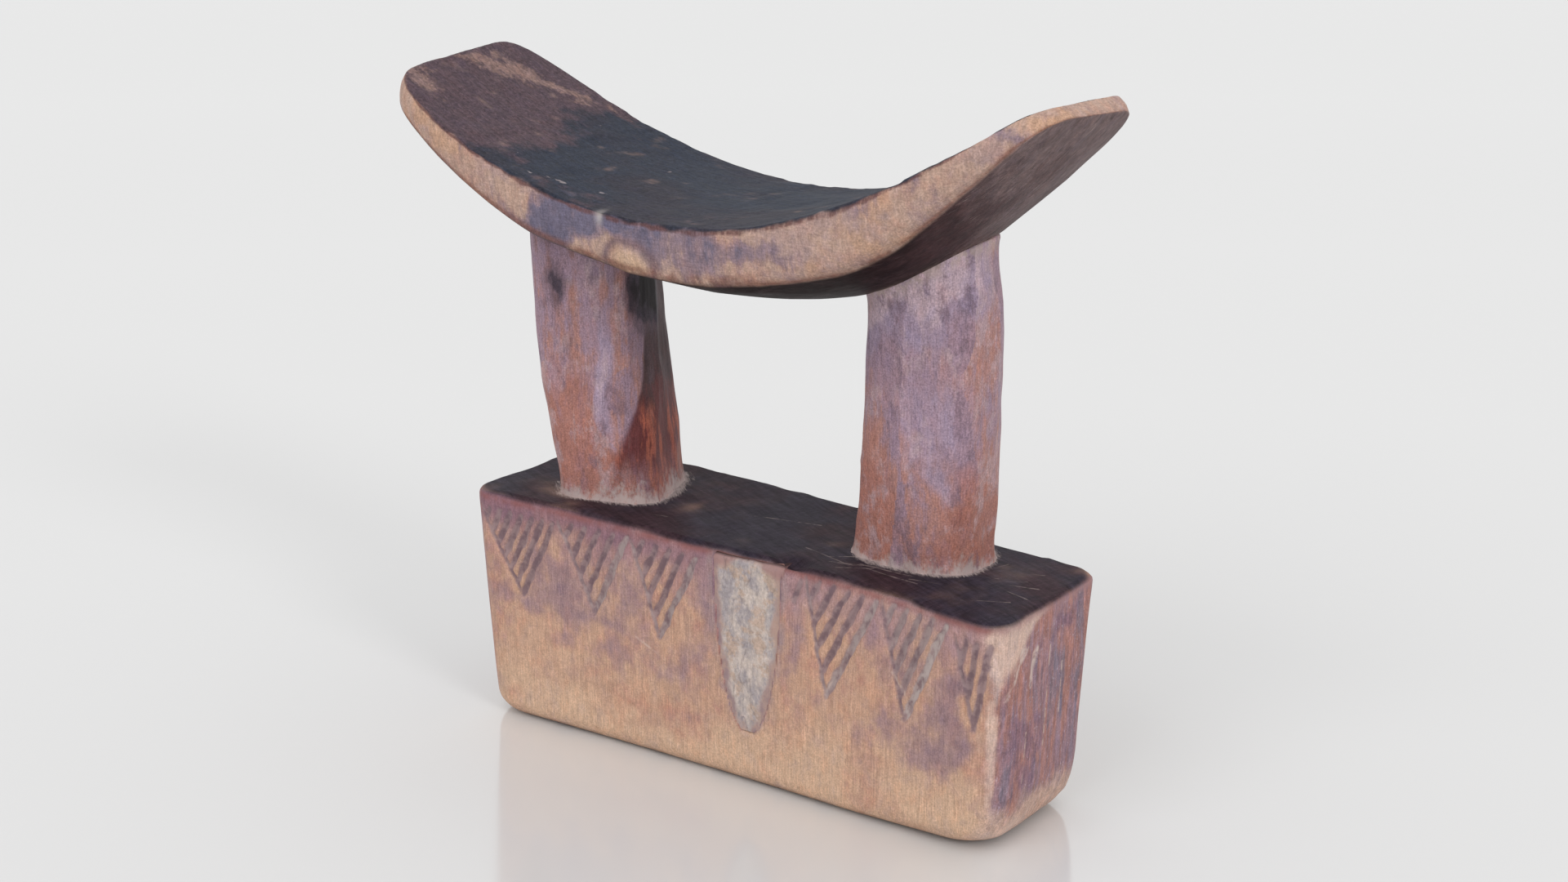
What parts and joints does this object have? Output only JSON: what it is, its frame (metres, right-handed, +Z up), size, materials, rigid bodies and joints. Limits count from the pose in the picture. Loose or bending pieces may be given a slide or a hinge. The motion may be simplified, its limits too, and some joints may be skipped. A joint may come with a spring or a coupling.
{
  "type": "headrest",
  "caption": "Carved wooden neck rest: a saddle-shaped platform on two stout posts over a long block foot cut with hatched triangles and mended with a grey fill.",
  "frame": {"origin": "middle of the flat underside of the block foot", "axes": "+X along the length of the foot, to the right as one faces the carved front; the carved front faces -Y; +Z up"},
  "size_m": [0.1836, 0.062, 0.1684],
  "materials": {
    "platform_wood": "hand-rubbed dark patina with worn tan edges",
    "post_wood": "adzed, reddish-brown, softly polished by handling",
    "base_wood": "worn open-grained front, dark top",
    "clay": "dry, mottled grey, matt"
  },
  "bodies": {
    "root": {"base_block": "base_wood", "clay_fill": "clay", "left_post": "post_wood", "right_post": "post_wood", "head_platform": "platform_wood"}
  },
  "joints": []
}
